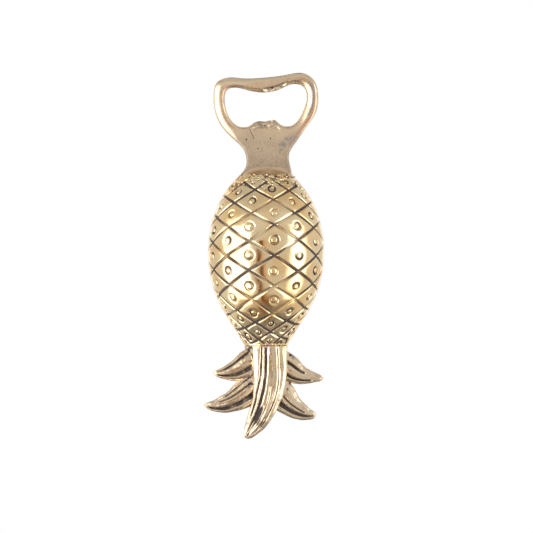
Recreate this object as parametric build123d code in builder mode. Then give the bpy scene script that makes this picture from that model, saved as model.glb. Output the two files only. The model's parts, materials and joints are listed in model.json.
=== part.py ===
from build123d import *
import os

# Pineapple bottle opener in cast and brazed brass, hung by its loop. +X is right, -Y is the front and
# +Z is up. The origin is on the tip of the hooking tooth, at mid thickness. Sizes are in millimetres.
#
# The opener comes apart, joint by joint, into these castings:
#   opener_head       loop, tooth, prying tab and neck, with a flat tang below the neck
#   neck_braze        the two braze fillets between the neck and the shoulder of the fruit
#   fruit_front_half, fruit_back_half
#                     hollow half shells with a lapped seam. Their engraving is shallow and changes
#                     no fit, so it is left out
#   crown_core        the tapered block that carries the leaves, with a spigot in the mouth of the fruit
#   crown_braze       the braze ring between the fruit and the leaf roots
#   six leaves        one in front, one behind and two on each side of the core

# ---------------------------------------------------------------- driving dimensions
head_thickness = 6.0  # loop and neck, front to back
bar_edge_radius = 1.6  # hand-filed rounding of the loop and neck

foot_z = -33.6  # underside of the neck, where it stands on the fruit
mouth_z = -103.2  # lower end of the fruit
foot_radius = 10.6  # fruit at the neck, side to side
mouth_radius = 8.9  # fruit at its lower end, side to side
depth_ratio = 0.85  # the fruit is this much slimmer front to back than side to side
wall = 2.4  # shell of the fruit
lap_angle = 4.0  # how far the front half's lip reaches round into the back half, in degrees

tang_width, tang_thickness, tang_length = 14.0, 5.0, 12.0
spigot_radius, spigot_length = 6.5, 7.0

braze_reach, braze_height = 5.4, 4.2  # neck fillet, out from the neck and up it
braze_hollow = 0.24  # its face sags in to this share of the reach and the height
braze_draft = 12  # its ends slope in by this many degrees
neck_offset = 0.6  # the neck stands this far right of the fruit's axis
core_offset = 0.4  # and the crown's block this far
crown_ring_height = 1.2
root_gap = 0.4  # from the fruit's lower end to the roots of the front and back leaves


def square_to(path, index):
    """Workplane at one point of a leaf's midrib, square to it, with its X across the blade."""
    before = Vector(*path[max(index - 1, 0)])
    after = Vector(*path[min(index + 1, len(path) - 1)])
    along = (after - before).normalized()
    across = along.cross(Vector(0, 1, 0)).normalized()
    return Plane(origin=path[index], x_dir=across, z_dir=along)


def leaf(name, stations, neighbours):
    """A blade lofted along its midrib. Each station is (x, y, z, half width, half thickness)."""
    midrib = [station[:3] for station in stations]
    with BuildPart() as blade:
        for index, (*_, half_width, half_thickness) in enumerate(stations):
            with BuildSketch(square_to(midrib, index)):
                Ellipse(half_width, half_thickness)
        loft()
        for neighbour in neighbours:
            add(neighbour, mode=Mode.SUBTRACT)
    blade.part.label = name
    return blade


# ---------------------------------------------------------------- opener head
# Outside of the loop and neck, from the left foot over the top to the right foot.
head_outline = [
    (-foot_radius, foot_z),
    (-8.4, -30.6),
    (-8.0, -27.0),
    (-9.4, -23.0),
    (-13.0, -19.4),
    (-18.2, -13.7),
    (-21.0, -7.1),
    (-21.4, -1.0),
    (-20.2, 3.8),
    (-16.4, 5.9),
    (-10.0, 5.8),
    (-2.0, 5.9),
    (7.7, 7.1),
    (16.0, 7.6),
    (19.8, 4.8),
    (21.3, -1.0),
    (20.6, -7.8),
    (16.5, -14.2),
    (12.2, -20.4),
    (9.5, -25.2),
    (9.8, -29.8),
    (foot_radius, foot_z),
]
# The window that takes the cap, clockwise from the tooth. The tab is the bump at its lower side.
tooth_tip = (-1.2, 0.0)
window_right = [
    (5.4, 1.2),
    (11.2, 3.5),
    (15.5, 2.1),
    (16.6, -2.6),
    (15.0, -7.9),
    (12.3, -12.2),
    (9.0, -13.9),
    (6.0, -12.9),
    (3.8, -11.4),
]
window_left = [
    (-4.0, -11.8),
    (-6.4, -13.2),
    (-9.2, -14.3),
    (-12.8, -12.8),
    (-15.7, -8.6),
    (-16.8, -3.0),
    (-15.8, 1.1),
    (-13.0, 2.0),
    (-7.0, 0.8),
]

with BuildPart() as opener_head:
    with BuildSketch(Plane.XZ):
        with BuildLine():
            outer = Spline(*head_outline)
            Line(outer @ 1, outer @ 0)
        make_face()
        with BuildLine():
            right_side = Spline(tooth_tip, *window_right)
            left_side = Spline(*window_left, tooth_tip)
            Line(right_side @ 1, left_side @ 0)
        make_face(mode=Mode.SUBTRACT)
    extrude(amount=head_thickness / 2, both=True)
    rims = opener_head.edges().group_by(Axis.Y)
    fillet((rims[0] + rims[-1]).filter_by(GeomType.BSPLINE), radius=bar_edge_radius)
    with BuildSketch(Plane.XY.offset(foot_z)):
        Rectangle(tang_width, tang_thickness)
    extrude(amount=-(wall + tang_length))
opener_head.part.label = "opener_head"

# ---------------------------------------------------------------- hollow fruit
# Half width of the fruit against height, from the neck to the mouth.
fruit_profile = [
    (foot_radius, foot_z),
    (15.9, -39.6),
    (20.9, -49.2),
    (23.4, -59.5),
    (23.6, -67.5),
    (21.8, -79.0),
    (17.2, -89.6),
    (12.0, -97.8),
    (mouth_radius, mouth_z),
]


def fruit_skin(inset):
    """The curved side of the fruit in the XZ plane, moved in by inset."""
    return [(radius - inset, height) for radius, height in fruit_profile]


def seam_lip(inner_inset):
    """The part of the wall from its middle to inner_inset, from the seam to lap_angle behind it."""
    with BuildPart() as lip:
        with BuildSketch(Plane.XZ):
            with BuildLine():
                outside = Spline(*fruit_skin(wall / 2)[1:-1])
                inside = Spline(*fruit_skin(inner_inset)[1:-1])
                Line(outside @ 0, inside @ 0)
                Line(outside @ 1, inside @ 1)
            make_face()
        revolve(axis=Axis.Z, revolution_arc=lap_angle)
        mirror(about=Plane.YZ)
    return lip.part


def fruit_half(name, arc, lip, lip_mode):
    """One half shell, revolved about Z from the seam, with its side of the lap, slimmed front to back."""
    with BuildPart() as half:
        with BuildSketch(Plane.XZ):
            with BuildLine():
                skin = Spline(*fruit_skin(0))
                Polyline(skin @ 1, (0, mouth_z), (0, foot_z), skin @ 0)
            make_face()
            with BuildLine():
                inside = Spline(*fruit_skin(wall)[1:-1])
                floor = Polyline(inside @ 1, (spigot_radius, mouth_z + wall), (0, mouth_z + wall))
                Polyline(floor @ 1, (0, foot_z - wall), (foot_radius - wall, foot_z - wall), inside @ 0)
            make_face(mode=Mode.SUBTRACT)
        revolve(axis=Axis.Z, revolution_arc=arc)
        add(lip, mode=lip_mode)
        # the slot for the tang and the mouth for the spigot, both cut well past the wall
        with BuildSketch(Plane.XY.offset(foot_z)):
            Rectangle(tang_width, tang_thickness / depth_ratio)
        extrude(amount=-2 * wall, mode=Mode.SUBTRACT)
        with BuildSketch(Plane.XY.offset(mouth_z)):
            Circle(spigot_radius)
        extrude(amount=2 * wall, mode=Mode.SUBTRACT)
        scale(by=(1, depth_ratio, 1))
    half.part.label = name
    return half


fruit_front_half = fruit_half("fruit_front_half", -180, seam_lip(wall), Mode.ADD)
fruit_back_half = fruit_half("fruit_back_half", 180, seam_lip(2 * wall), Mode.SUBTRACT)

# ---------------------------------------------------------------- braze at the neck
with BuildPart() as neck_braze:
    with BuildSketch(Plane.YZ):
        with BuildLine():
            face = head_thickness / 2
            corner = (-face, foot_z)
            toe = (-face - braze_reach, foot_z)
            top = (-face, foot_z + braze_height)
            Polyline(toe, corner, top)
            sag = (-face - braze_hollow * braze_reach, foot_z + braze_hollow * braze_height)
            ThreePointArc(top, sag, toe)
        make_face()
    extrude(amount=foot_radius, both=True)
    with BuildSketch(Plane.XY.offset(foot_z)):
        with Locations((neck_offset, 0)):
            Ellipse(foot_radius - neck_offset, foot_radius * depth_ratio)
    extrude(amount=braze_height, taper=braze_draft, mode=Mode.INTERSECT)
    mirror(about=Plane.XZ)
neck_braze.part.label = "neck_braze"

# ---------------------------------------------------------------- crown
with BuildPart() as crown_core:
    with BuildSketch(Plane.XY.offset(mouth_z + spigot_length)):
        Ellipse(spigot_radius, spigot_radius * depth_ratio)
    extrude(amount=-spigot_length)
    core_sections = [(0, 7.6, 6.2), (-9, 7.0, 5.0), (-17, 6.0, 3.6), (-24, 4.2, 2.2)]
    for drop, half_width, half_depth in core_sections:
        with BuildSketch(Plane.XY.offset(mouth_z + drop)):
            with Locations((core_offset, 0)):
                Ellipse(half_width, half_depth)
    loft()
crown_core.part.label = "crown_core"

with BuildPart() as crown_braze:
    with BuildSketch(Plane.XY.offset(mouth_z)):
        Ellipse(mouth_radius, mouth_radius * depth_ratio)
    extrude(amount=-crown_ring_height)
    add(crown_core.part, mode=Mode.SUBTRACT)
crown_braze.part.label = "crown_braze"

root_z = mouth_z - root_gap  # the front and back leaves cover the braze ring

# Stations of each blade: x, y, z, half width, half thickness, from root to tip.
upper_left = [
    (-3.5, 0, -109.8, 6.4, 2.6),
    (-7.0, 0, -111.2, 6.2, 2.6),
    (-10.6, 0, -112.9, 5.1, 2.4),
    (-14.4, 0, -114.2, 3.7, 2.0),
    (-18.1, 0, -114.7, 2.2, 1.5),
    (-21.7, 0, -114.6, 0.6, 0.7),
]
upper_right = [
    (4.0, 0, -109.8, 5.8, 2.6),
    (7.8, 0, -111.9, 5.8, 2.6),
    (11.4, 0, -114.1, 5.0, 2.4),
    (15.0, 0, -115.6, 3.7, 2.0),
    (18.8, 0, -116.3, 2.5, 1.5),
    (23.4, 0, -117.0, 0.9, 0.8),
]
lower_left = [
    (-2.6, 0, -119.4, 5.9, 2.5),
    (-6.4, 0, -121.8, 6.3, 2.5),
    (-10.2, 0, -124.1, 5.5, 2.4),
    (-13.9, 0, -126.1, 4.4, 2.2),
    (-18.0, 0, -127.5, 3.4, 1.8),
    (-21.8, 0, -128.0, 2.1, 1.3),
    (-25.4, 0, -127.6, 0.7, 0.7),
]
lower_right = [
    (3.7, 0, -120.8, 6.0, 2.5),
    (7.2, 0, -124.8, 5.9, 2.5),
    (10.4, 0, -128.0, 4.7, 2.3),
    (14.0, 0, -130.2, 3.7, 2.0),
    (17.4, 0, -131.5, 2.4, 1.5),
    (20.6, 0, -131.6, 1.2, 0.9),
]
middle = [
    (1.5, 6.2, root_z, 7.0, 2.2),
    (1.7, 6.6, -112.0, 6.9, 2.5),
    (1.3, 6.4, -120.0, 6.4, 2.5),
    (-0.7, 5.7, -127.8, 5.3, 2.2),
    (-4.1, 4.9, -134.7, 4.1, 1.7),
    (-8.4, 4.2, -140.9, 1.5, 0.8),
]
in_front = [(x, -y, z, half_width, half_thickness) for x, y, z, half_width, half_thickness in middle]

roots = [crown_core.part, crown_braze.part]
side_blades = [
    leaf("upper_left_leaf", upper_left, roots),
    leaf("upper_right_leaf", upper_right, roots),
]
side_blades += [
    leaf("lower_left_leaf", lower_left, [*roots, side_blades[0].part]),
    leaf("lower_right_leaf", lower_right, [*roots, side_blades[1].part]),
]
neighbours = roots + [blade.part for blade in side_blades]
leaves = side_blades + [
    leaf("front_leaf", in_front, neighbours),
    leaf("back_leaf", middle, neighbours),
]

# ---------------------------------------------------------------- export
pieces = [opener_head, neck_braze, fruit_front_half, fruit_back_half, crown_core, crown_braze, *leaves]
os.makedirs("parts", exist_ok=True)
for piece in pieces:
    export_step(piece.part, f"parts/{piece.part.label}.step")
    print(piece.part.label, "solids", len(piece.part.solids()), "volume", round(piece.part.volume))
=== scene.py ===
# %% [markdown]
# # A pineapple bottle opener in brass
# The opener is a small souvenir that was cast in several pieces, brazed together, engraved by hand
# and polished. Its loop takes a bottle cap, the fruit is the grip, and the leaves end it.
# The CAD model fixes where every piece is and how large it is. This script starts from that frame
# and makes the surfaces that the eye judges: the engraving, the file marks, the dark patina, the shine.

# %% The frame
import json
import math
import bmesh
import bpy
import numpy as np
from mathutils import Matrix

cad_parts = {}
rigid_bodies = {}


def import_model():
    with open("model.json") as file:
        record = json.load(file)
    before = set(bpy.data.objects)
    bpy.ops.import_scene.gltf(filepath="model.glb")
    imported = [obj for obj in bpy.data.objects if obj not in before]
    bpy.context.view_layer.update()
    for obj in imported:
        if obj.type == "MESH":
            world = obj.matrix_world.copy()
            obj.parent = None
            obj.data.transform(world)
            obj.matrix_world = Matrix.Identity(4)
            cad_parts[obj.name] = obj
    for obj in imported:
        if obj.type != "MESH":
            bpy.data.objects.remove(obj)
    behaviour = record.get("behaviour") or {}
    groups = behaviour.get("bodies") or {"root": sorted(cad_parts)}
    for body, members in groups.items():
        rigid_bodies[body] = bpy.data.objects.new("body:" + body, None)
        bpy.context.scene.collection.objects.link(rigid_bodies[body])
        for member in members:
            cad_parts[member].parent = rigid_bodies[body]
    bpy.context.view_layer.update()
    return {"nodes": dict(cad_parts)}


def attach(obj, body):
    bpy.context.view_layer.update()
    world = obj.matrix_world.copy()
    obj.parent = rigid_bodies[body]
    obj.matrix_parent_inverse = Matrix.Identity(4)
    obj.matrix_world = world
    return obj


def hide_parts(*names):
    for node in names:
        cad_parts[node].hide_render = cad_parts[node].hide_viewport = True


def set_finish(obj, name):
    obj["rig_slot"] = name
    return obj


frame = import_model()
MM = 0.001  # every size below is in millimetres, and becomes metres when a mesh is made
print("pieces in the frame:", ", ".join(sorted(frame["nodes"])))

# %% [markdown]
# ## Curves through a few points
# A pattern maker draws an outline by bending a thin strip of wood round a few nails. The strip takes
# the smoothest line that passes all of them. The same strip in numbers is a natural cubic spline, so
# each outline below needs only the points that give it its shape.


# %% The bent strip
def bent_strip(points, count):
    """A smooth line through points, as count points evenly spread along it."""
    points = np.array(points, float)
    steps = np.linalg.norm(np.diff(points, axis=0), axis=1)
    knots = np.concatenate([[0], np.cumsum(steps)])
    last = len(points) - 1
    system = np.eye(last + 1)
    pull = np.zeros_like(points)
    slopes = np.diff(points, axis=0) / steps[:, None]
    for i in range(1, last):
        system[i, i - 1 : i + 2] = steps[i - 1], 2 * (steps[i - 1] + steps[i]), steps[i]
        pull[i] = 6 * (slopes[i] - slopes[i - 1])
    bend = np.linalg.solve(system, pull)
    along = np.linspace(0, knots[-1], count)
    i = np.clip(np.searchsorted(knots, along, "right") - 1, 0, last - 1)
    step = steps[i][:, None]
    before = (along - knots[i])[:, None]
    after = step - before
    line = (bend[i] * after**3 + bend[i + 1] * before**3) / (6 * step)
    line += (points[i] / step - bend[i] * step / 6) * after
    line += (points[i + 1] / step - bend[i + 1] * step / 6) * before
    return line


print("a strip bent round 3 nails:", bent_strip([(0, 0), (5, 3), (10, 0)], 5).round(1).tolist())

# %% [markdown]
# ## Unevenness of the hand
# Nothing here was made by a machine, so no face is quite flat and no groove quite even. Smooth random
# lumps of a chosen size stand for that. They come from a small block of fixed random numbers, so the
# piece comes out the same each time. Soft steps do the rest: they fade one kind of surface into the next.


# %% Lumps and soft steps
def lumps(points, size, seed):
    """Smooth random values from -1 to 1 at points, changing over about size millimetres."""
    side = 24
    block = np.random.default_rng(seed).uniform(-1, 1, (side, side, side))
    place = np.asarray(points, float) / size + 500.37
    cell = np.floor(place).astype(int)
    share = place - cell
    share = share * share * (3 - 2 * share)
    value = np.zeros(len(place))
    for corner in np.ndindex(2, 2, 2):
        weight = np.prod(np.where(corner, share, 1 - share), axis=1)
        i, j, k = ((cell + corner) % side).T
        value += weight * block[i, j, k]
    return value


def soft_step(start, end, value):
    """0 before start, 1 after end, and a smooth ramp between them. start may be the larger."""
    share = np.clip((value - start) / (end - start), 0, 1)
    return share * share * (3 - 2 * share)


print("half way up a soft step:", float(soft_step(0, 1, 0.5)))

# %% [markdown]
# ## From points to a piece
# Each piece is a closed skin of small four-sided faces. Where the tool or the acid has left its mark,
# the skin also carries a number per point, named patina. It is 0 on polished metal and 1 at the bottom
# of a cut. On the head and the leaves it also carries painted shade. A second number tints the metal
# blue-grey or orange: torch colour on the neck, painted reflections on the head's edges and right arm,
# and a grey tint in the grooves of the leaves. The brass finish reads both. Faces are made in whatever
# turn is handy, so bmesh turns them all outward at the end. A piece rides on the one body of the frame
# and says which CAD nodes it stands for.


# %% Making a piece
def make_piece(name, points, faces, finish_slot, nodes, patina, scorch=0.0):
    """A smooth closed piece from points in mm and faces, standing for the named CAD nodes."""
    mesh = bpy.data.meshes.new(name)
    mesh.from_pydata((np.asarray(points) * MM).tolist(), [], faces)
    skin = bmesh.new()
    skin.from_mesh(mesh)
    bmesh.ops.recalc_face_normals(skin, faces=skin.faces)
    skin.to_mesh(mesh)
    skin.free()
    for mark, values in (("patina", patina), ("scorch", np.zeros(len(points)) + scorch)):
        mesh.attributes.new(mark, "FLOAT", "POINT").data.foreach_set("value", np.clip(values, 0, 1))
    mesh.shade_smooth()
    piece = bpy.data.objects.new(name, mesh)
    bpy.context.scene.collection.objects.link(piece)
    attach(piece, "root")
    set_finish(piece, finish_slot)
    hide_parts(*nodes)
    print(name, "has", len(points), "points and", len(faces), "faces")


def woven_faces(rows, columns, joined_ends=False):
    """Four-sided faces between rows x columns points, closed round each row.

    Points are counted row by row. joined_ends also joins the last row to the first.
    """
    row, column = np.meshgrid(np.arange(rows - (not joined_ends)), np.arange(columns), indexing="ij")
    here, below = row * columns, (row + 1) % rows * columns
    beside = (column + 1) % columns
    corners = [here + column, here + beside, below + beside, below + column]
    return np.stack(corners, axis=-1).reshape(-1, 4).tolist()


def capped_faces(rows, columns):
    """Faces of a stack of closed rows, with one many-sided face over each end."""
    ends = [list(range(columns))[::-1], list(range((rows - 1) * columns, rows * columns))]
    return woven_faces(rows, columns) + ends


print("faces in a stack of 3 rows of 4 points:", len(capped_faces(3, 4)))

# %% [markdown]
# ## The shape of the fruit
# The fruit swells from the neck to its widest point and runs in again to a narrow mouth, where the
# leaves begin. It is a little slimmer front to back than side to side. One outline, turned about the
# long axis, gives the whole body.

# %% The outline of the fruit
foot_radius, foot_z = 10.6, -33.6  # where the neck stands on the fruit
mouth_radius, mouth_z = 8.9, -103.2  # where the leaves begin
depth_ratio = 0.85  # front to back, against side to side
wall = 2.4
fruit_outline = [
    (foot_radius, foot_z), (15.9, -39.6), (20.9, -49.2), (23.4, -59.5), (23.6, -67.5),
    (21.8, -79.0), (17.2, -89.6), (12.0, -97.8), (mouth_radius, mouth_z),
]


def turned(radius, height, turn):
    """Points of the fruit at a radius and height, turned from the front by turn radians."""
    x = radius * np.sin(turn)
    y = -depth_ratio * radius * np.cos(turn)
    return np.stack(np.broadcast_arrays(x, y, height), axis=-1)


skin_rows, skin_columns = 300, 262
skin = bent_strip(fruit_outline, skin_rows)
print("widest at z =", round(float(skin[skin[:, 0].argmax(), 1]), 1))

# %% [markdown]
# ## The engraver's lattice
# Two families of slanting lines cross on the fruit and leave diamonds between them. The engraver
# divided the girth into fourteen, marked the rows closer together where the fruit is slim, and cut
# freehand between the marks. So the lattice is laid out in counts, not in millimetres: one number
# counts columns round the fruit and one counts rows down it. A line is where row plus or minus half
# the column is a whole number. Dividing by how fast that number changes turns it into millimetres.

# %% Where the lines run
columns_round = 14
first_column = math.radians(9)  # a crossing stands just right of the middle of the front
row_heights = [-34.9, -43.9, -54.2, -66.7, -79.2, -90.1, -97.7, -104.5]
middle_row = 3
middle_height = row_heights[middle_row]
side_squeeze = 0.2  # rows are this much closer together at the side seams
bare_side = math.radians(77), math.radians(83)  # the lines stop here, short of the seam


def lattice(points, turn):
    """Rising and falling line counts over the fruit's grid of points."""
    shape = points.shape[:2]
    wander = [0.05 * lumps(points.reshape(-1, 3), 17, seed).reshape(shape) for seed in (3, 4)]
    squeeze = 1 - side_squeeze * (1 - np.abs(np.cos(turn)))
    height = middle_height + (points[..., 2] - middle_height) / squeeze
    counts = np.arange(len(row_heights)) - middle_row
    row = np.interp(-height, [-z for z in row_heights], counts) + wander[0]
    column = (turn - first_column) * columns_round / math.tau + wander[1]
    return row - column / 2, row + column / 2


def per_mm(count, points):
    """How much a count changes for each millimetre along the surface."""
    change = 0
    for axis in (0, 1):
        step = np.linalg.norm(np.gradient(points, axis=axis), axis=-1)
        change = change + (np.gradient(count, axis=axis) / np.maximum(step, 1e-6)) ** 2
    return np.sqrt(change)


print("lattice:", columns_round, "columns and", len(row_heights), "rows of crossings")

# %% [markdown]
# ## Cutting the lines and punching the rings
# A graver leaves a round-bottomed groove with a small burr of metal along both sides. A tube punch
# then marks a ring in each diamond. Its edge goes in deeper on one side than the other, because the
# punch is held by hand, and the metal inside the ring rises to a low dome.

# %% The cut at every point
groove_half_width, groove_depth = 0.6, 0.5
burr_height, burr_width = 0.09, 0.26
pillow_depth = 0.14  # how far each diamond falls away from its middle to its edges
ring_radius, ring_half_line, ring_depth = 1.6, 0.55, 0.46
dome_height = 0.3
dish_radius, dish_depth = 2.9, 0.06  # the blow also sinks the metal round the ring a little
full_row = 12.5  # in a row this high or higher the ring has its full size


def groove(distance, strength):
    """Depth of one cut line at a distance from its middle: round at the bottom, burred at the sides."""
    cut = groove_depth * strength * np.sqrt(np.clip(1 - (distance / groove_half_width) ** 2, 0, 1))
    burr = burr_height * np.exp(-(((distance - groove_half_width - burr_width) / burr_width) ** 2))
    return cut - burr


def rings(rising, falling, points, strength):
    """Depth of the punched rings, one in the middle of each diamond."""
    dice = np.random.default_rng(12).uniform(-1, 1, (64, 64, 5))
    home = np.floor(rising).astype(int), np.floor(falling).astype(int)
    luck = dice[home[0] % 64, home[1] % 64]
    off_rising = rising - home[0] - 0.5
    off_falling = falling - home[1] - 0.5
    row_rate = per_mm((rising + falling) / 2, points)
    column_rate = per_mm(falling - rising, points)
    down = (off_rising + off_falling) / 2 / row_rate + 0.3 * luck[..., 0]
    across = (off_falling - off_rising) / column_rate + 0.35 * luck[..., 1]
    size = np.clip(1 / row_rate / full_row, 0.7, 1) * (1 + 0.08 * luck[..., 2])
    distance = np.hypot(down, across) / size
    lean = 1 + 0.5 * np.cos(np.arctan2(down, across) + 3 * luck[..., 3])
    line = np.clip(1 - ((distance - ring_radius) / ring_half_line) ** 2, 0, 1)
    inner_edge = ring_radius - ring_half_line
    dome = dome_height * np.clip(1 - (distance / inner_edge) ** 2, 0, 1)
    dish = dish_depth * soft_step(dish_radius, dish_radius - 1, distance)
    return strength * (ring_depth * lean * line**0.7 * (0.85 + 0.25 * luck[..., 4]) + dish - dome)


print("deepest point of a line:", float(groove(np.zeros(1), 1)[0].round(2)), "mm")

# %% [markdown]
# ## What the fruit's surface carries
# Lines, rings and pillowed diamonds are added up into one depth per point. Near the neck the braze has
# run over the engraving and left pits, so the lines fade there. In the last rows the file has been less
# careful, and more of the dark patina stays. On the bulge the wheel has polished most of it away.

# %% The engraved surface
foot_fade, mouth_fade = (-34.6, -37.2), (-103.1, -102.4)  # heights between which the lines fade in
pitted_from, pitted_to = -42.0, -37.0
careless_from, careless_to = -84.0, -97.0
polished_from, polished_to = -40.0, -50.0


def engraving(outside, turn):
    """How deep the tools went at every point of the outside, and how much patina has stayed there."""
    height = outside[..., 2]

    def uneven(size, seed):
        return lumps(outside.reshape(-1, 3), size, seed).reshape(height.shape)

    counts = lattice(outside, turn)
    off_seam = np.abs((turn + math.pi / 2) % math.pi - math.pi / 2)
    clear = 1 - soft_step(*bare_side, off_seam)
    clear = clear * soft_step(*foot_fade, height) * soft_step(*mouth_fade, height)
    strength = clear * np.clip(0.85 + 0.4 * uneven(6, 5), 0.3, 1.3)
    off_line = [np.abs(count - np.round(count)) for count in counts]
    lines = [groove(gap / per_mm(count, outside), strength) for gap, count in zip(off_line, counts)]
    cut = np.maximum(np.maximum(*lines) * clear, rings(*counts, outside, strength))
    pillow = pillow_depth * clear * (1 - 2 * np.minimum(*off_line)) ** 2
    blisters = soft_step(-0.05, 0.4, uneven(0.9, 8) + 0.6 * uneven(0.5, 9))
    pits = blisters * soft_step(pitted_from, pitted_to, height + 2.5 * uneven(3, 10))
    low_rows = soft_step(careless_from, careless_to, height)
    waves = 0.07 * uneven(9, 6) + 0.02 * uneven(2.5, 7) + 0.07 * low_rows * uneven(2.0, 14)
    polished = np.cos(turn) ** 2 * (1 - low_rows) * soft_step(polished_from, polished_to, height)
    left_dark = 0.95 - 0.4 * polished + 0.35 * uneven(4, 11)
    patina = soft_step(0.12, 0.40, cut) * left_dark + 0.55 * pits
    patina += 0.34 * low_rows * clear * soft_step(-0.3, 0.6, uneven(1.8, 13))
    return cut + pillow + 0.4 * pits + waves, patina


print("the pits reach", round(foot_z - pitted_from, 1), "mm below the foot of the neck")

# %% [markdown]
# ## Two half shells
# The fruit is hollow, and was cast as a front and a back half. Each half is one closed skin: the
# engraved outside, the rim round the tang, the plain inside and the rim at the mouth, followed round
# like the section of a cup, with a cap on each seam face. The engraving stops just short of the seam,
# which stays as a fine dark line.

# %% Building a half shell
tang_hole, spigot_hole = 7.8, 6.55
lining_rows = 24
seam_sunk, seam_patina, inside_patina = 0.12, 0.5, 0.3


def shell_section():
    """The closed outline of the wall: outside, mouth rim, inside, tang rim, as radius and height."""
    lining = bent_strip([(r - wall, z) for r, z in fruit_outline[1:-1]], lining_rows)[::-1]
    mouth_rim = [(spigot_hole, mouth_z), (spigot_hole, mouth_z + wall)]
    tang_rim = [(tang_hole, foot_z - wall), (tang_hole, foot_z)]
    return np.concatenate([skin, mouth_rim, lining, tang_rim])


def seam_cap(rows, column):
    """Faces that close a half shell along one seam: each spans one step of the lining."""
    at = [row * skin_columns + column for row in range(rows)]
    lining = at[skin_rows:]
    shares = np.linspace(0, skin_rows - 1, len(lining)).round().astype(int)[::-1]
    steps = enumerate(zip(shares, shares[1:]))
    return [at[low : high + 1] + lining[i : i + 2] for i, (high, low) in steps]


def half_shell(name, node, start):
    """One half of the fruit, from a turn of start to half a turn further, engraved on the outside."""
    turn = start + np.linspace(0, math.pi, skin_columns)[None, :]
    outside = turned(skin[:, :1], skin[:, 1:], turn)
    depth, patina = engraving(outside, turn)
    inward = np.cross(np.gradient(outside, axis=1), np.gradient(outside, axis=0))
    inward /= np.maximum(np.linalg.norm(inward, axis=-1, keepdims=True), 1e-9)
    from_seam = np.minimum(np.arange(skin_columns), np.arange(skin_columns)[::-1])
    seam_line = soft_step(2.2, 0, from_seam)
    outside = outside + inward * (depth * soft_step(0, 3, from_seam) + seam_sunk * seam_line)[..., None]
    section = shell_section()
    rest = turned(section[skin_rows:, :1], section[skin_rows:, 1:], turn)
    points = np.concatenate([outside, rest])
    marks = np.concatenate([patina + seam_patina * seam_line, np.full(rest.shape[:2], inside_patina)])
    rows = len(section)
    # a half is open at its seams, so the faces that would close each row are left out
    woven = woven_faces(rows, skin_columns, True)
    faces = [face for face in woven if abs(face[0] % skin_columns - face[1] % skin_columns) == 1]
    faces += seam_cap(rows, 0) + seam_cap(rows, skin_columns - 1)
    make_piece(name, points.reshape(-1, 3), faces, "brass_fruit", [node], marks.ravel())


half_shell("fruit_front_shell", "fruit_front_half", -math.pi / 2)
half_shell("fruit_back_shell", "fruit_back_half", math.pi / 2)

# %% [markdown]
# ## The opener head
# Loop, tooth, tab and neck are one flat casting. It is drawn as a plate with a window in it and a
# rounded edge. A remesh then turns it into one even skin of small faces, and a few rounds of
# smoothing do what the polishing wheel does: they take the corners down. The neck runs on below the
# foot as a tang inside the fruit.

# %% The outlines of the head
head_thickness, head_edge = 6.0, 0.5
worn_side = 0.6  # half of what the polishing wheel leaves of the side wall
tang_half_width, tang_length = 7.0, 14.4
head_side = [
    (-foot_radius, foot_z), (-8.4, -30.6), (-8.0, -27.0), (-9.4, -23.0), (-13.0, -19.4),
    (-18.2, -13.7), (-21.0, -7.1), (-21.4, -1.0), (-20.2, 3.8), (-16.4, 5.9), (-10.0, 5.8),
    (-2.0, 5.9), (7.7, 7.1), (16.0, 7.6), (19.8, 4.8), (21.3, -1.0), (20.6, -7.8), (16.5, -14.2),
    (12.2, -20.4), (9.5, -25.2), (9.8, -29.8), (foot_radius, foot_z),
]
tooth_tip = (-1.2, 0.0)
window_right = [
    tooth_tip, (5.4, 1.2), (11.2, 3.5), (15.5, 2.1), (16.6, -2.6), (15.0, -7.9), (12.3, -12.2),
    (8.8, -13.9), (6.2, -13.2), (4.6, -12.0),
]
tab_edge = [(3.7, -11.2), (1.1, -11.5), (-0.4, -12.0), (-2.9, -11.7)]  # rough chisel facets
window_left = [
    (-4.8, -12.3), (-6.9, -13.8), (-9.2, -14.3), (-12.8, -12.8), (-15.7, -8.6), (-16.8, -3.0),
    (-15.8, 1.1), (-13.0, 2.0), (-7.0, 0.8), tooth_tip,
]
tang = [(tang_half_width, foot_z), (tang_half_width, foot_z - tang_length)]
tang += [(-x, z) for x, z in tang[::-1]]
outline_steps = 260
head_outline = np.concatenate([bent_strip(head_side, outline_steps), tang])
right_half, left_half = (bent_strip(side, outline_steps // 2) for side in (window_right, window_left))
window = np.concatenate([right_half, tab_edge, left_half[:-1]])
print("window", round(float(np.ptp(window[:, 0])), 1), "mm wide")


# %% The plate and its even skin
def plate(outlines, thickness, edge):
    """A plate with rounded edges in the XZ plane. The first outline is its border, others are holes."""
    curve = bpy.data.curves.new("plate", "CURVE")
    curve.dimensions = "2D"
    curve.fill_mode = "BOTH"
    curve.extrude = thickness / 2 - edge
    curve.bevel_depth = edge
    curve.bevel_resolution = 5
    curve.offset = -edge
    for outline in outlines:
        spline = curve.splines.new("POLY")
        spline.points.add(len(outline) - 1)
        flat = np.column_stack([outline, np.zeros(len(outline)), np.ones(len(outline))])
        spline.points.foreach_set("co", flat.ravel())
        spline.use_cyclic_u = True
    blank = bpy.data.objects.new("plate", curve)
    bpy.context.scene.collection.objects.link(blank)
    return blank


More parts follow.
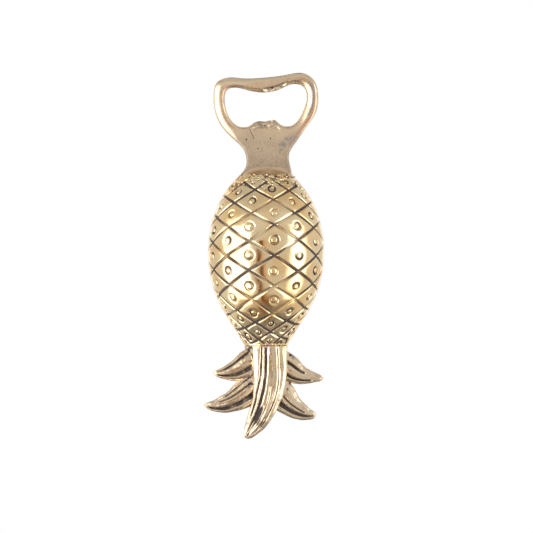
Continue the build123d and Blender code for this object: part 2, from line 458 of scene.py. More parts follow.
def even_skin(blank, grain, rounds):
    """Points and faces of a shape after a voxel remesh of size grain and some rounds of smoothing."""
    bpy.context.view_layer.update()
    depsgraph = bpy.context.evaluated_depsgraph_get()
    solid = bpy.data.objects.new("solid", bpy.data.meshes.new_from_object(blank.evaluated_get(depsgraph)))
    bpy.context.scene.collection.objects.link(solid)
    remesh = solid.modifiers.new("remesh", "REMESH")
    remesh.mode = "VOXEL"
    remesh.voxel_size = grain
    smooth = solid.modifiers.new("smooth", "SMOOTH")
    smooth.factor = 0.5
    smooth.iterations = rounds
    bpy.context.view_layer.update()
    depsgraph = bpy.context.evaluated_depsgraph_get()
    mesh = bpy.data.meshes.new_from_object(solid.evaluated_get(depsgraph))
    points = np.zeros(len(mesh.vertices) * 3)
    mesh.vertices.foreach_get("co", points)
    faces = [tuple(face.vertices) for face in mesh.polygons]
    for used in (blank, solid):
        bpy.data.objects.remove(used)
    return points.reshape(-1, 3), faces


grain, smoothing_rounds = 0.27, 10
head_blank = plate([head_outline, window], head_thickness, head_edge)
head_points, head_faces = even_skin(head_blank, grain, smoothing_rounds)
head_points = head_points[:, [0, 2, 1]] * (1, -1, 1)
print("head skin:", len(head_faces), "faces, z up to", round(float(head_points[:, 2].max()), 2))

# %% [markdown]
# ## Wearing the bar round
# The wheel has rounded the loop unevenly. Its left arm slopes far in from the outside, its right arm
# slopes in from the window, and the neck keeps a narrow edge. So each point's thickness is worked out
# from its distance to the outer outline and to the window, as a quarter round whose width changes
# from place to place.

# %% The worn bar
def distance_to(line, points):
    """Distance in the XZ plane from each point to the nearest stretch of a line."""
    flat = points[:, [0, 2]]
    nearest = np.full(len(points), np.inf)
    for start, end in zip(line, line[1:]):
        run = end - start
        share = np.clip((flat - start) @ run / max(run @ run, 1e-9), 0, 1)
        gap = flat - start - share[:, None] * run
        nearest = np.minimum(nearest, (gap**2).sum(axis=1))
    return np.sqrt(nearest)


def within(value, low, high, fade):
    """1 between low and high, falling softly to 0 over fade outside them."""
    return soft_step(low - fade, low, value) * soft_step(high + fade, high, value)


x, z = head_points[:, 0], head_points[:, 2]
from_outside = distance_to(head_outline[:outline_steps], head_points)
from_window = distance_to(np.concatenate([window, window[:1]]), head_points)
to_left, to_right, to_neck = soft_step(-2, -14, x), soft_step(8, 15, x), soft_step(-14, -21, z)
sharp_edge = np.maximum(to_neck, to_right * soft_step(-6, -12, z))
outer_round = 1.5 + 1.9 * to_left * (1 - to_neck) - 0.9 * sharp_edge
inner_round = 1.8 - 0.7 * to_left + 1.3 * to_right
inset = np.minimum(1, np.minimum(from_outside / outer_round, from_window / inner_round))
quarter_round = worn_side + (head_thickness / 2 - worn_side) * np.sqrt(1 - (1 - inset) ** 2)
head_points[:, 1] = np.sign(head_points[:, 1]) * np.minimum(np.abs(head_points[:, 1]), quarter_round)
head_points[:, 1] *= 1 - 0.12 * soft_step(-24, -14, z)
narrowest, widest = float(outer_round.min()), float(outer_round.max())
print("the round is", round(narrowest, 1), "to", round(widest, 1), "mm wide")

# %% [markdown]
# ## Filing the tooth and the tab
# The tooth hooks under the rim of the cap, so a lip was ground along the window, right of its tip.
# The tab opposite was only roughed down with a chisel. Both cuts are ledges: a limit on how far
# forward a point may stand, low near the window and climbing behind the ledge. A few pits and two
# short scratches stay on the flat front.

# %% File cuts on the head
def file_ledge(points, region, depth, width, climb, roughness, seed):
    """Cuts the front back to a ledge along the window, where region is 1, that climbs out behind it."""
    rough = roughness * lumps(points * (1, 0, 1.6), 1.1, seed)
    behind = np.maximum(0, from_window - width - 0.3 * lumps(points * (1, 0, 1), 1.6, seed + 1))
    limit = -(depth + 0.2 * from_window + climb * behind + rough)
    filed = np.maximum(points[:, 1], limit)
    points[:, 1] += region * (filed - points[:, 1])


tooth_cut = within(x, 0.6, 6.6, 2.6) * soft_step(-2.5, -1.5, z)
tab_cut = within(x, -3.0, 2.8, 3.4) * within(z, -15.0, -10.0, 1.0)
file_ledge(head_points, tooth_cut, depth=0.8, width=1.3, climb=3.0, roughness=0.25, seed=21)
file_ledge(head_points, tab_cut, depth=1.3, width=2.2, climb=0.7, roughness=0.4, seed=22)
sides = np.sign(head_points[:, 1])
head_points[:, 1] += sides * (0.1 * lumps(head_points, 8, 23) + 0.035 * lumps(head_points, 2.2, 24))
head_points[:, [0, 2]] += 0.08 * np.column_stack([lumps(head_points, 6, 25), lumps(head_points, 6, 26)])
filed_points = [int((region > 0.5).sum()) for region in (tooth_cut, tab_cut)]
print("filed:", filed_points[0], "points at the tooth,", filed_points[1], "at the tab")

# %% Scratches and pits
# a scratch has two ends and half a width, a pit has a place and a radius
scratches = [((-6.6, -15.2), (-5.8, -16.7), 0.34), ((-5.6, -17.0), (-4.9, -18.8), 0.28)]
pin_pits = [(-7.9, -19.4, 0.45), (1.9, -18.9, 0.4), (-3.2, -23.0, 0.28), (5.4, -16.8, 0.25), (2.5, 1.7, 0.6)]
scratch_depth, pit_depth = 0.22, 0.4


def scratch(points, start, end, half_width):
    """1 along a straight scratch on the front of the head, 0 away from it."""
    return soft_step(half_width, 0.2 * half_width, distance_to(np.array([start, end]), points))


on_front = soft_step(-0.5, -1.0, head_points[:, 1])
gouged = sum(scratch(head_points, *mark) for mark in scratches) * on_front
pitted = sum(soft_step(r, 0.3 * r, np.hypot(x - px, z - pz)) for px, pz, r in pin_pits) * on_front
head_points[:, 1] += scratch_depth * gouged + pit_depth * pitted
print("marked points:", int(((gouged + pitted) > 0.5).sum()))

# %% [markdown]
# ## Dirt, painted shade, torch colour and painted reflections on the head
# The chiselled tab and the ground lip hold dirt, and painted shade darkens the crease of the lip. The neck
# below the tab is darker all over, with a painted shadow deepening towards its foot.
# The torch that brazed the neck has left a blue-grey smudge on it. The orange line down the right shoulder,
# the orange edge at the left corner of the window and the grey on the right arm are painted reflections.
# The tint grows from 0 through blue-grey to orange at 1.

# %% Dirt and painted shade on the head
speckle = lumps(head_points, 0.9, 27)
in_ledge = soft_step(2.6, 1.6, from_window) * on_front
chisel_dirt = tab_cut * in_ledge * (0.28 + 0.25 * soft_step(-0.3, 0.5, speckle))
# a little dirt in the lip, and a band of painted shade in the crease where the ledge climbs
tooth_dirt_and_crease_shade = tooth_cut * in_ledge * (0.15 + 0.4 * within(from_window, 1.4, 2.0, 0.4))
# the neck below the tab is darker all over, and a painted shadow deepens it towards the foot
neck_darkening_and_foot_shade = 0.38 * soft_step(-10, -21, z) + 0.06 * soft_step(-22, -31, z)
# this count includes the painted shade at the lip's crease and the neck's foot
print("dirty points:", int((chisel_dirt + tooth_dirt_and_crease_shade + neck_darkening_and_foot_shade > 0.3).sum()))

# %% Torch colour, painted reflections, and the finished head
smudge_line = np.array([(12.2, -17.0), (9.8, -18.9), (6.6, -22.8)])
smudge_edge = distance_to(smudge_line, head_points) + 1.3 * lumps(head_points, 1.4, 36)
smudge = soft_step(3.2, 0.0, smudge_edge) * on_front * soft_step(-0.8, 0.5, lumps(head_points, 0.8, 37))
# the orange shoulder line, the orange edge at the window's left corner and the grey on the right arm are
# painted reflections; the smudge is torch colour
shoulder = within(from_outside, 0.9, 1.5, 0.5) * within(z, -17.0, -3.0, 3.0) * soft_step(4, 8, x)
corner = within(from_window, 0.2, 0.7, 0.4) * soft_step(-8, -11, x) * soft_step(-7, -2, z)
right_arm = soft_step(13, 16, x) * soft_step(-11, -8, z) * soft_step(6, 2, z)
painted_grey_reflection = within(from_outside, 1.2, 2.6, 0.5) * right_arm
head_scorch = np.max([shoulder, 0.8 * corner, 0.38 * smudge, 0.42 * painted_grey_reflection], axis=0) * on_front
head_patina_and_shade = 0.8 * pitted + 0.5 * gouged + chisel_dirt + tooth_dirt_and_crease_shade + neck_darkening_and_foot_shade + 0.06 * smudge
# this count includes the painted reflections on the edges and the right arm
print("coloured by the torch:", int((head_scorch > 0.3).sum()), "points")
make_piece("loop_and_neck", head_points, head_faces, "brass_head", ["opener_head"], head_patina_and_shade, head_scorch)

# %% [markdown]
# ## The braze at the neck
# Brazing fills the corner between two pieces with a bead of softer brass, and the bead cools into a
# hollow curve. It runs right round the foot of the neck. So the bead is a ring with a hollow section:
# its inner side follows the neck, its toe lies on the shoulder of the fruit, and both wander a little.

# %% A bead round the neck
bead_top, bead_toe, bead_floor = foot_z + 3.8, foot_z - 0.9, foot_z - 1.6
bead_turns, bead_steps, underside_steps = 420, 40, 6
neck_middle = 0.6  # the neck stands a little to the right of the fruit's axis
neck_half_width, neck_half_depth, neck_squareness = 8.7, 2.9, 6
toe_half_width = foot_radius + 0.9
in_neck, underside_in = 0.3, 1.4  # how far the bead and its underside reach into the neck


def rounded_box(turn, half_x, half_y, squareness):
    """Radius of a box with round corners, seen from its middle at a turn. Squareness 2 is an oval."""
    across = np.abs(np.sin(turn) / half_x) ** squareness
    through = np.abs(np.cos(turn) / half_y) ** squareness
    return (across + through) ** (-1 / squareness)


turn = np.linspace(0, math.tau, bead_turns, endpoint=False)[:, None]
neck_radius = rounded_box(turn, neck_half_width, neck_half_depth, neck_squareness)
toe_radius = rounded_box(turn, toe_half_width, toe_half_width * depth_ratio, 2)
share = np.linspace(0, 1, bead_steps)[None, :]
swing = share * math.pi / 2  # the face is half way between a straight slope and a quarter turn
outward, downward = (1 - np.cos(swing) + share) / 2, (np.sin(swing) + share) / 2
inner_radius = neck_radius - in_neck
radius = inner_radius + (toe_radius - inner_radius) * outward
height = bead_top - (bead_top - bead_toe) * downward
underside = np.linspace(1, 0, underside_steps + 2)[None, 1:-1]
underside_radius = neck_radius - underside_in + (toe_radius - neck_radius) * underside
radius = np.concatenate([radius, underside_radius], axis=1)
height = np.concatenate([height, np.full((1, underside_steps), bead_floor)], axis=1) + 0 * turn
bead = np.stack([neck_middle + radius * np.sin(turn), -radius * np.cos(turn), height], axis=-1).reshape(-1, 3)
toe = np.tile(np.concatenate([share, 0 * underside], axis=1), (bead_turns, 1)).ravel()
bead += (0.3 * toe * lumps(bead, 1.3, 31) + 0.25 * lumps(bead, 2.5, 32))[:, None] * (0.6, 0.6, 1)
near_toe = soft_step(0.6, 0.98, toe + 0.25 * lumps(bead, 1.2, 33))
bead_patina = 0.9 * near_toe * soft_step(-0.3, 0.5, lumps(bead, 0.8, 34))
bead_faces = woven_faces(bead_turns, bead_steps + underside_steps, True)
make_piece("neck_braze_bead", bead, bead_faces, "brass_braze", ["neck_braze"], bead_patina)

# %% [markdown]
# ## The block that carries the leaves
# Behind the leaves a tapered block joins them to the fruit. A round spigot on it sits in the mouth,
# and a thin bead of braze closes the joint. Both are nearly hidden, but they show between the leaves
# from the side and from below.


# %% Block and ring
def stacked(name, sections, around, finish_slot, nodes, unevenness, dirt):
    """A solid from oval sections, each (x, z, half width, half depth), closed at both ends."""
    turn = np.linspace(0, math.tau, around, endpoint=False)
    x, z, half_width, half_depth = (column[:, None] for column in np.array(sections, float).T)
    rows = [x + half_width * np.sin(turn), -half_depth * np.cos(turn), z + 0 * turn]
    points = np.stack(rows, axis=-1).reshape(-1, 3)
    points[:, :2] += unevenness * np.column_stack([lumps(points, 2.2, 41), lumps(points, 2.2, 42)])
    patina = dirt * soft_step(-0.4, 0.6, lumps(points, 1.4, 43))
    make_piece(name, points, capped_faces(len(sections), around), finish_slot, nodes, patina)


spigot_radius, spigot_length, block_x = 6.45, 7.0, 0.4
# half width, half depth and height against the mouth
taper = bent_strip([(7.6, 6.2, 0), (7.0, 5.0, -9), (6.0, 3.6, -17), (4.2, 2.2, -24)], 90)
spigot_heights = mouth_z + spigot_length - spigot_length * np.linspace(0, 1, 12)
block_sections = [(0.0, height, spigot_radius, spigot_radius * depth_ratio) for height in spigot_heights]
block_sections += [(block_x, mouth_z - 0.02 + rise, width, depth) for width, depth, rise in taper]
stacked("crown_block", block_sections, 120, "brass_leaf", ["crown_core"], unevenness=0.12, dirt=0.8)

ring_middle, ring_half_height, ring_bulge = mouth_z - 0.6, 0.75, 0.5
ring_sections = []
for level in np.linspace(-1, 1, 14):
    ring_half = mouth_radius - ring_bulge + ring_bulge * math.sqrt(1 - 0.96 * level * level)
    ring_sections.append((0.0, ring_middle + ring_half_height * level, ring_half, ring_half * depth_ratio))
stacked("crown_braze_ring", ring_sections, 260, "brass_braze", ["crown_braze"], unevenness=0.1, dirt=0.7)

# %% [markdown]
# ## A leaf
# Each leaf is a thick curved blade. Its section is a flattened oval that is broad near the root and
# runs out to a rounded tip, and it always stands square to the midrib. Long grooves were cut along
# it to look like folds. A groove has a course, a width and a depth. The course is a few places, each
# a share of the blade's length and a place across it, from -1 at one edge to 1 at the other.


# %% The grooves of a leaf
leaf_steps, leaf_around = 170, 150


def carving(grooves, along, side):
    """Depth of all the grooves over a blade's grid of points."""
    cut = np.zeros((leaf_steps, leaf_around))
    for course, width, depth in grooves:
        stops, places = zip(*course)
        middle = np.interp(along, stops, places)
        here = within(along, stops[0] + 0.03, stops[-1] - 0.05, 0.08)
        cut = np.maximum(cut, depth * here * np.exp(-(((side - middle) / width) ** 2)))
    return cut


def leaf_marks(cut, points, along, seed, dirt_and_shade_at_root, dirt_to_tip):
    """Patina and tint of a leaf, from the depth of its grooves and the places of its points. Near the root
    the dark is partly painted shade.
    """
    patina = soft_step(0.18, 0.75, cut) * (0.8 + 0.35 * lumps(points, 2.5, seed + 4))
    patina += dirt_to_tip * soft_step(0.35, 0.8, along) * soft_step(-0.3, 0.4, lumps(points, 2.2, seed + 9))
    # towards the root the leaf darkens in patches: braze pits and patina, and painted shade where it meets
    # the block
    patina += dirt_and_shade_at_root * soft_step(0.38, 0.1, along) * soft_step(0.0, 0.7, lumps(points, 1.3, seed + 5))
    scorch = 0.22 * within(cut, 0.1, 0.4, 0.1) * soft_step(-0.2, 0.5, lumps(points, 3, seed + 6))
    return patina, scorch


print("a leaf is a grid of", leaf_steps, "by", leaf_around, "points")

# %% Building a leaf
tip_share = 0.07  # the last part of the blade, which is rounded off
side_squareness, face_squareness = 0.9, 0.68  # 1 is an oval, less is boxier


def square_to(midrib):
    """Directions across a blade and out of its face, at each step of its midrib."""
    ahead = np.gradient(midrib, axis=0)
    ahead /= np.linalg.norm(ahead, axis=1, keepdims=True)
    across = np.cross(ahead, (0, 1, 0))
    across /= np.linalg.norm(across, axis=1, keepdims=True)
    return across, np.cross(ahead, across)


def leaf(name, node, stations, grooves, seed, dirt_and_shade_at_root, dirt_to_tip):
    """A grooved blade. Each station is (x, y, z, half width, half thickness), from root to tip."""
    track = bent_strip(stations, leaf_steps)
    midrib, half_width, half_thick = track[:, :3], track[:, 3:4], track[:, 4:5]
    across, outward = square_to(midrib)
    along = np.linspace(0, 1, leaf_steps)[:, None]
    into_tip = np.clip(along - 1 + tip_share, 0, 1) / tip_share
    tip = np.sqrt(np.clip(1 - into_tip**2, 0.0004, 1))
    around = np.linspace(0, math.tau, leaf_around, endpoint=False)[None, :]
    side = np.sign(np.cos(around)) * np.abs(np.cos(around)) ** side_squareness
    face = np.sign(np.sin(around)) * np.abs(np.sin(around)) ** face_squareness
    off_edge = soft_step(0.05, 0.5, np.abs(face))
    cut = carving(grooves, along, side) * off_edge * np.minimum(1, half_thick / 2)
    strokes = np.stack(np.broadcast_arrays(6 * side, 3.5 * along, np.sign(face)), axis=-1).reshape(-1, 3)
    filed = 0.16 * lumps(strokes, 1, seed + 7) + 0.1 * lumps(2.2 * strokes, 1, seed + 11)
    rise = half_thick * face - np.sign(face) * (cut + filed.reshape(cut.shape) * off_edge)
    points = midrib[:, None] + (tip * half_width * side)[..., None] * across[:, None]
    points = (points + (tip * rise)[..., None] * outward[:, None]).reshape(-1, 3)
    shake = np.column_stack([lumps(points, 3, seed + i) for i in range(3)])
    shake += 0.35 * np.column_stack([lumps(points, 1.1, seed + 8 + i) for i in range(3)])
    along = np.repeat(along.ravel(), leaf_around)
    points += 0.12 * shake * soft_step(0, 0.03, along)[:, None]
    marks = leaf_marks(cut.ravel(), points, along, seed, dirt_and_shade_at_root, dirt_to_tip)
    make_piece(name, points, capped_faces(leaf_steps, leaf_around), "brass_leaf", [node], *marks)


print("the tip is rounded over the last", tip_share, "of a leaf")

# %% [markdown]
# ## Six leaves
# One broad leaf lies in front and its twin behind, both curling to the left at the tip. Two leaves
# stand out on each side. The grooves follow each curl, so they give the crown its movement.

# %% The crown
root_z = mouth_z - 0.4
middle_stations = [
    (1.5, 6.2, root_z, 7.0, 2.2), (1.7, 6.6, -112.0, 6.9, 2.5), (1.3, 6.4, -120.0, 6.4, 2.5),
    (-0.7, 5.7, -127.8, 5.3, 2.2), (-4.1, 4.9, -134.7, 4.1, 1.7), (-8.4, 4.2, -140.9, 1.5, 0.8),
]
front_stations = [(x, -y, z, w, t) for x, y, z, w, t in middle_stations]
# each groove is its course, its width as a share of half the blade, and its depth
front_grooves = [
    ([(-0.1, -0.42), (0.25, -0.55), (0.5, -0.76), (0.78, -0.74)], 0.07, 0.7),
    ([(-0.1, -0.20), (0.25, -0.26), (0.5, -0.38), (0.75, -0.38), (0.95, -0.3)], 0.10, 1.0),
    ([(0.1, 0.02), (0.4, 0.10), (0.7, 0.12), (0.93, 0.1)], 0.16, 0.2),
    ([(0.38, 0.06), (0.6, 0.14), (0.9, 0.18)], 0.05, 0.5),
    ([(0.0, 0.44), (0.35, 0.53), (0.6, 0.56), (0.92, 0.6)], 0.06, 0.55),
    ([(0.62, -0.16), (0.8, -0.14), (1.02, 0.0)], 0.19, 0.75),
    ([(0.72, 0.42), (0.86, 0.44), (1.0, 0.4)], 0.08, 0.5),
]
print("grooves in the front leaf:", len(front_grooves))
leaf("leaf_front", "front_leaf", front_stations, front_grooves, 50, dirt_and_shade_at_root=0.2, dirt_to_tip=0.42)
leaf("leaf_back", "back_leaf", middle_stations, front_grooves, 60, dirt_and_shade_at_root=0.2, dirt_to_tip=0.42)

# %% The four side leaves
side_leaves = {
    "upper_left": ([
        (-3.5, 0, -109.8, 6.4, 2.6), (-7.0, 0, -111.2, 6.2, 2.6), (-10.6, 0, -112.9, 5.1, 2.4),
        (-14.4, 0, -114.2, 3.7, 2.0), (-18.1, 0, -114.7, 2.2, 1.5),
        (-21.7, 0, -114.6, 0.6, 0.7),
    ], [
        ([(0.1, -0.70), (0.5, -0.66), (0.9, -0.4)], 0.10, 0.8),
        ([(0.1, 0.18), (0.5, 0.36), (0.92, 0.4)], 0.15, 1.1),
    ]),
    "upper_right": ([
        (4.0, 0, -109.8, 5.8, 2.6), (7.8, 0, -111.9, 5.8, 2.6), (11.4, 0, -114.1, 5.0, 2.4),
        (15.0, 0, -115.6, 3.7, 2.0), (18.8, 0, -116.3, 2.5, 1.5), (23.4, 0, -117.0, 0.9, 0.8),
    ], [
        ([(0.05, 0.30), (0.3, 0.36), (0.62, 0.30)], 0.10, 1.0),
        ([(0.05, -0.42), (0.5, -0.52), (0.78, -0.5)], 0.10, 1.0),
    ]),
    "lower_left": ([
        (-2.6, 0, -119.4, 5.9, 2.5), (-6.4, 0, -121.8, 6.3, 2.5), (-10.2, 0, -124.1, 5.5, 2.4),
        (-13.9, 0, -126.1, 4.4, 2.2), (-18.0, 0, -127.5, 3.4, 1.8),
        (-21.8, 0, -128.0, 2.1, 1.3), (-25.4, 0, -127.6, 0.7, 0.7),
    ], [
        ([(0.1, -0.72), (0.35, -0.68), (0.62, -0.72)], 0.07, 0.6),
        ([(0.1, -0.38), (0.4, -0.34), (0.75, -0.4)], 0.07, 0.7),
        ([(0.1, 0.28), (0.4, 0.40), (0.7, 0.48), (0.93, 0.4)], 0.18, 1.2),
    ]),
    "lower_right": ([
        (3.7, 0, -120.8, 6.0, 2.5), (7.2, 0, -124.8, 5.9, 2.5), (10.4, 0, -128.0, 4.7, 2.3),
        (14.0, 0, -130.2, 3.7, 2.0), (17.4, 0, -131.5, 2.4, 1.5), (20.6, 0, -131.6, 1.2, 0.9),
    ], [
        ([(0.2, 0.05), (0.5, 0.10), (0.78, 0.05)], 0.07, 0.7),
        ([(0.1, -0.45), (0.5, -0.42), (0.97, -0.3)], 0.18, 1.1),
    ]),
}
for order, (place, (stations, grooves)) in enumerate(side_leaves.items(), start=7):
    leaf(f"leaf_{place}", f"{place}_leaf", stations, grooves, 10 * order, dirt_and_shade_at_root=0.9, dirt_to_tip=0.25)

# %% [markdown]
# ## Shader maths
# A finish is a recipe of nodes. Written with plain arithmetic it can be read at a glance, so a small
# class wraps a node's output and lets + - and * add the Math nodes. Every other node comes from one
# method, which sets the node up first and then fills or links its sockets.


# %% The wrapped socket
class Wire:
    """One output of a node. Arithmetic on it adds Math nodes."""

    def __init__(self, recipe, socket):
        self.recipe = recipe
        self.socket = socket

    def maths(self, operation, *values):
        return self.recipe.node("ShaderNodeMath", {"operation": operation}, dict(enumerate(values)))

    def __add__(self, other):
        return self.maths("ADD", self, other)

    def __sub__(self, other):
        return self.maths("SUBTRACT", self, other)

    def __rsub__(self, other):
        return self.maths("SUBTRACT", other, self)

    def __mul__(self, other):
        return self.maths("MULTIPLY", self, other)

    __radd__ = __add__
    __rmul__ = __mul__


class Recipe:
    """A node tree under construction."""

    def __init__(self, tree):
        self.tree = tree
        tree.nodes.clear()

    def node(self, kind, settings=None, sockets=None, output=0):
        """Adds a node, sets it up, fills or links its sockets, and wraps one of its outputs."""
        made = self.tree.nodes.new(kind)
        for name, value in (settings or {}).items():
            setattr(made, name, value)
        for name, value in (sockets or {}).items():
            if isinstance(value, Wire):
                self.tree.links.new(value.socket, made.inputs[name])
            else:
                made.inputs[name].default_value = value
        return Wire(self, made.outputs[output]) if made.outputs else None

    def mix(self, share, first, second):
        """A colour that goes from first to second as share goes from 0 to 1."""
        sockets = {0: share, 6: first, 7: second}
        return self.node("ShaderNodeMix", {"data_type": "RGBA"}, sockets, 2)

    def ramp(self, value, start, end):
        """0 where value is at start, 1 at end, smooth between."""
        settings = {"interpolation_type": "SMOOTHSTEP"}
        return self.node("ShaderNodeMapRange", settings, {"Value": value, "From Min": start, "From Max": end})

    def noise(self, place, size, detail=3.0, roughness=0.55):
        """Noise about size millimetres across, from 0 to 1."""
        sockets = {"Vector": place, "Scale": 1 / (size * MM), "Detail": detail, "Roughness": roughness}
        return self.node("ShaderNodeTexNoise", {}, sockets)


print("a recipe has:", ", ".join(name for name in vars(Recipe) if not name.startswith("_")))

# %% [markdown]
# ## Brass, and the dark in its cuts
# Polished brass is a pale gold mirror with a soft haze. Handling leaves it blotchy: some patches are
# yellower, some redder, some duller. Polishing never reaches the bottom of a cut, so there the metal
# stays dark brown and matt. Fine wheel marks run along each piece. They show in the shine and as a
# very faint relief. Colours are given as linear red, green and blue.

# %% The brass finish
tarnish = (0.40, 0.30, 0.20, 1)
dark_patina = (0.070, 0.047, 0.040, 1)
# blue-grey and orange tints: torch colour, and painted reflections on the head's edges and right arm
orange_temper_and_reflection, grey_temper_and_reflection = (0.80, 0.38, 0.22, 1), (0.36, 0.34, 0.36, 1)
relief_height = 0.00006  # in metres


def brass_finish(name, pale_gold, warm_gold, haze, duller, wheel_marks, grime, relief_strength):
    """Brass that is blotchy between two golds.

    haze is its base roughness, duller the share of dull patches and grime the share of dark specks.
    wheel_marks is the scale of the marks in x, y and z. Below 1 they are drawn out that way.
    """
    material = bpy.data.materials.new(name)
    material.use_nodes = True
    recipe = Recipe(material.node_tree)
    place = recipe.node("ShaderNodeTexCoord", output=3)
    patina = recipe.node("ShaderNodeAttribute", {"attribute_name": "patina"}, output=2)
    scorch = recipe.node("ShaderNodeAttribute", {"attribute_name": "scorch"}, output=2)
    stretch = recipe.node("ShaderNodeMapping", {}, {"Vector": place, "Scale": wheel_marks})
    blotches = recipe.noise(place, 10)
    smears = recipe.noise(place, 3.5, 4)
    speckle = recipe.noise(place, 0.7, 5, 0.65)
    scuffs = recipe.noise(stretch, 1.2, 4, 0.6)
    gold = recipe.mix(recipe.ramp(blotches, 0.35, 0.68), pale_gold, warm_gold)
    dull_patches = recipe.ramp(smears * 0.7 + speckle * 0.45, 0.60, 0.86) * duller
    tinted = recipe.mix(dull_patches, gold, tarnish)
    # the tint mixes in blue-grey and orange: torch colour, and painted reflections on the head
    temper_and_reflection = recipe.mix(recipe.ramp(scorch, 0.45, 0.8), grey_temper_and_reflection, orange_temper_and_reflection)
    tinted = recipe.mix(recipe.ramp(scorch, 0.0, 0.45) * 0.6, tinted, temper_and_reflection)
    # patina also brings the painted shade of the neck's foot, the tooth's crease and the leaf roots into the
    # dark
    broken_up = (speckle - 0.5) * 0.5 * recipe.ramp(patina, 0.15, 0.6)
    dirt = recipe.ramp(patina + broken_up, 0.08, 0.75)
    specks = recipe.ramp(speckle, 0.70, 0.80) * grime
    dark = recipe.node("ShaderNodeMath", {"operation": "MAXIMUM", "use_clamp": True}, {0: dirt, 1: specks})
    colour = recipe.mix(dark, tinted, dark_patina)
    rough = (smears - 0.5) * 0.16 + (scuffs - 0.5) * 0.14 + dull_patches * 0.22 + dark * 0.4 + haze
    relief = scuffs * 0.5 + speckle * 0.5 - dark * 0.6
    bump_sockets = {"Strength": relief_strength, "Distance": relief_height, "Height": relief}
    bump = recipe.node("ShaderNodeBump", {}, bump_sockets)
    looks = {"Base Color": colour, "Metallic": 1 - dark * 0.75, "Roughness": rough, "Normal": bump}
    shader = recipe.node("ShaderNodeBsdfPrincipled", {}, looks)
    recipe.node("ShaderNodeOutputMaterial", {}, {"Surface": shader})
    print("finish", name, "has", len(material.node_tree.nodes), "nodes")
    return material


print("patina is", dark_patina[:3], "against tarnish", tarnish[:3])

# %% Finishes on pieces
# name, pale gold, warm gold, then haze, duller, wheel marks, grime and relief strength
looks_of = {
    "brass_head": ("satin_brass", (0.83, 0.65, 0.44, 1), (0.73, 0.55, 0.37, 1),
                   0.28, 0.9, (1, 1, 0.25), 0.15, 0.7),
    "brass_fruit": ("polished_engraved_brass", (0.87, 0.70, 0.43, 1), (0.88, 0.58, 0.27, 1),
                    0.14, 0.35, (1, 1, 0.3), 0.1, 0.35),
    "brass_leaf": ("polished_leaf_brass", (0.83, 0.67, 0.48, 1), (0.76, 0.59, 0.39, 1),
                   0.22, 0.7, (0.4, 1, 0.4), 0.25, 0.5),
    "brass_braze": ("rough_braze_brass", (0.84, 0.65, 0.44, 1), (0.76, 0.56, 0.36, 1),
                    0.32, 0.6, (1, 1, 1), 0.5, 0.9),
}
finishes = {slot: brass_finish(*look) for slot, look in looks_of.items()}
finished = [thing for thing in bpy.context.scene.objects if thing.get("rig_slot")]
for piece in finished:
    piece.data.materials.append(finishes[piece["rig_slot"]])
print("pieces with a finish:", len(finished))

# %% [markdown]
# ## The studio
# A mirror shows the room, so polished metal is lit by what surrounds it. The room is pale all round
# with two large soft boxes at the front left and front right. Between them the room is dimmer, and a
# narrow brown strip, like the dark stand of a camera, gives the fruit its one dark streak. A dark
# patch low in front shades the last rows. Behind, two brighter strips with a dim gap between them give
# the back its gleam. The world shader paints that room by direction: azimuth 0 is the front, and
# grows to the right.

# %% The room
warm_fringe, dark_stand, low_shade = (0.78, 0.40, 0.16, 1), (0.05, 0.02, 0.01, 1), (0.16, 0.08, 0.04, 1)
wall_light, left_light, right_light = 0.80, 2.4, 2.2


def radians_of(*degrees):
    return [math.radians(value) for value in degrees]


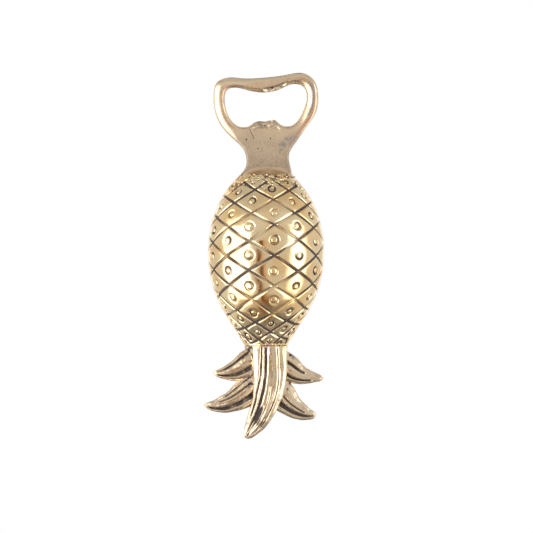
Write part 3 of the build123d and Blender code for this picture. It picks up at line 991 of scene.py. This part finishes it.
def paint_room():
    """The world: plain white where the camera looks, and the studio in every reflection."""
    world = bpy.data.worlds.new("studio_room")
    bpy.context.scene.world = world
    world.use_nodes = True
    room = Recipe(world.node_tree)
    direction = room.node("ShaderNodeTexCoord", output=0)
    x, y, z = (room.node("ShaderNodeSeparateXYZ", {}, {"Vector": direction}, part) for part in range(3))
    azimuth = x.maths("ARCTAN2", x, 0 - y)
    height = z.maths("ARCSINE", z)

    def patch(centre, half_width, centre_height, half_height, fade):
        """1 in a soft-edged rectangle of the room, 0 outside it. All five are in degrees."""
        aside = azimuth.maths("ABSOLUTE", azimuth - math.radians(centre))
        above = height.maths("ABSOLUTE", height - math.radians(centre_height))
        wide, tall, soft = radians_of(half_width, half_height, fade)
        return room.ramp(aside, wide + soft, wide - soft) * room.ramp(above, tall + soft, tall - soft)

    left_box = patch(-57, 29, -9, 29, 5)
    right_box = patch(60, 17, -6, 27, 5)
    front_gap = patch(8, 36, -5, 26, 10)
    fringe = patch(-9, 6.5, -20, 30, 2.5)
    stand = patch(-10, 3.3, -20, 29, 1.6)
    dark_low = patch(4, 11, -45, 9, 5)
    turned_away = azimuth.maths("ABSOLUTE", azimuth)
    back = room.ramp(turned_away, *radians_of(140, 155))
    back = back - room.ramp(turned_away, *radians_of(162, 172)) * 2.0
    below, above = room.ramp(height, *radians_of(-30, -58)), room.ramp(height, *radians_of(22, 50))
    light = (wall_light - front_gap * 0.10 + back * 0.5) * (1 - below * 0.68) * (1 - above * 0.25)
    light = light + left_box * left_light + right_box * right_light
    grey = room.node("ShaderNodeCombineColor", {}, {"Red": light, "Green": light, "Blue": light})
    studio = room.mix(fringe * 0.85, grey, warm_fringe)
    studio = room.mix(stand, studio, dark_stand)
    studio = room.mix(dark_low * 0.8, studio, low_shade)
    seen = room.node("ShaderNodeLightPath", output=0)
    shown = room.mix(seen, studio, (1, 1, 1, 1))
    background = room.node("ShaderNodeBackground", {}, {"Color": shown})
    room.node("ShaderNodeOutputWorld", {}, {"Surface": background})
    print("room nodes:", len(world.node_tree.nodes))


paint_room()
bpy.context.scene.view_settings.view_transform = "Standard"

# %% [markdown]
# ## Floor and camera
# The opener hangs by its loop in the air, as it would from a hook, well above a plain pale floor. The
# camera stands straight in front with a long lens, so that the sides of the fruit stay parallel.

# %% Floor
floor_z, floor_radius, rim_points = -260.0, 340.0, 96
turns = np.linspace(0, math.tau, rim_points, endpoint=False)
rim = [(floor_radius * math.sin(turn), floor_radius * math.cos(turn), floor_z) for turn in turns]
floor_mesh = bpy.data.meshes.new("studio_floor")
floor_mesh.from_pydata((np.array(rim) * MM).tolist(), [], [list(range(rim_points))[::-1]])
floor = bpy.data.objects.new("studio_floor", floor_mesh)
bpy.context.scene.collection.objects.link(floor)
floor.visible_glossy = False  # the brass mirrors the painted room, not this disc
floor_paint = bpy.data.materials.new("floor_paint")
floor_paint.use_nodes = True
paint = Recipe(floor_paint.node_tree)
pale_floor = {"Base Color": (0.9, 0.9, 0.9, 1), "Roughness": 0.9}
pale_floor |= {"Emission Color": (1, 1, 1, 1), "Emission Strength": 0.32}
shader = paint.node("ShaderNodeBsdfPrincipled", {}, pale_floor)
paint.node("ShaderNodeOutputMaterial", {}, {"Surface": shader})
floor_mesh.materials.append(floor_paint)
print("floor", -floor_z, "mm below the tooth")

# %% Camera
view_width, view_centre = 217.8, (0.2, -71.1)  # what the picture spans at the opener, and its middle
lens, sensor = 150.0, 36.0
camera_data = bpy.data.cameras.new("camera")
camera_data.lens = lens
camera_data.sensor_width = sensor
camera = bpy.data.objects.new("camera", camera_data)
bpy.context.scene.collection.objects.link(camera)
distance = view_width * lens / sensor
camera.location = (view_centre[0] * MM, -distance * MM, view_centre[1] * MM)
camera.rotation_euler = (math.pi / 2, 0, 0)
bpy.context.scene.camera = camera
print("camera", round(distance), "mm in front")

# %% [markdown]
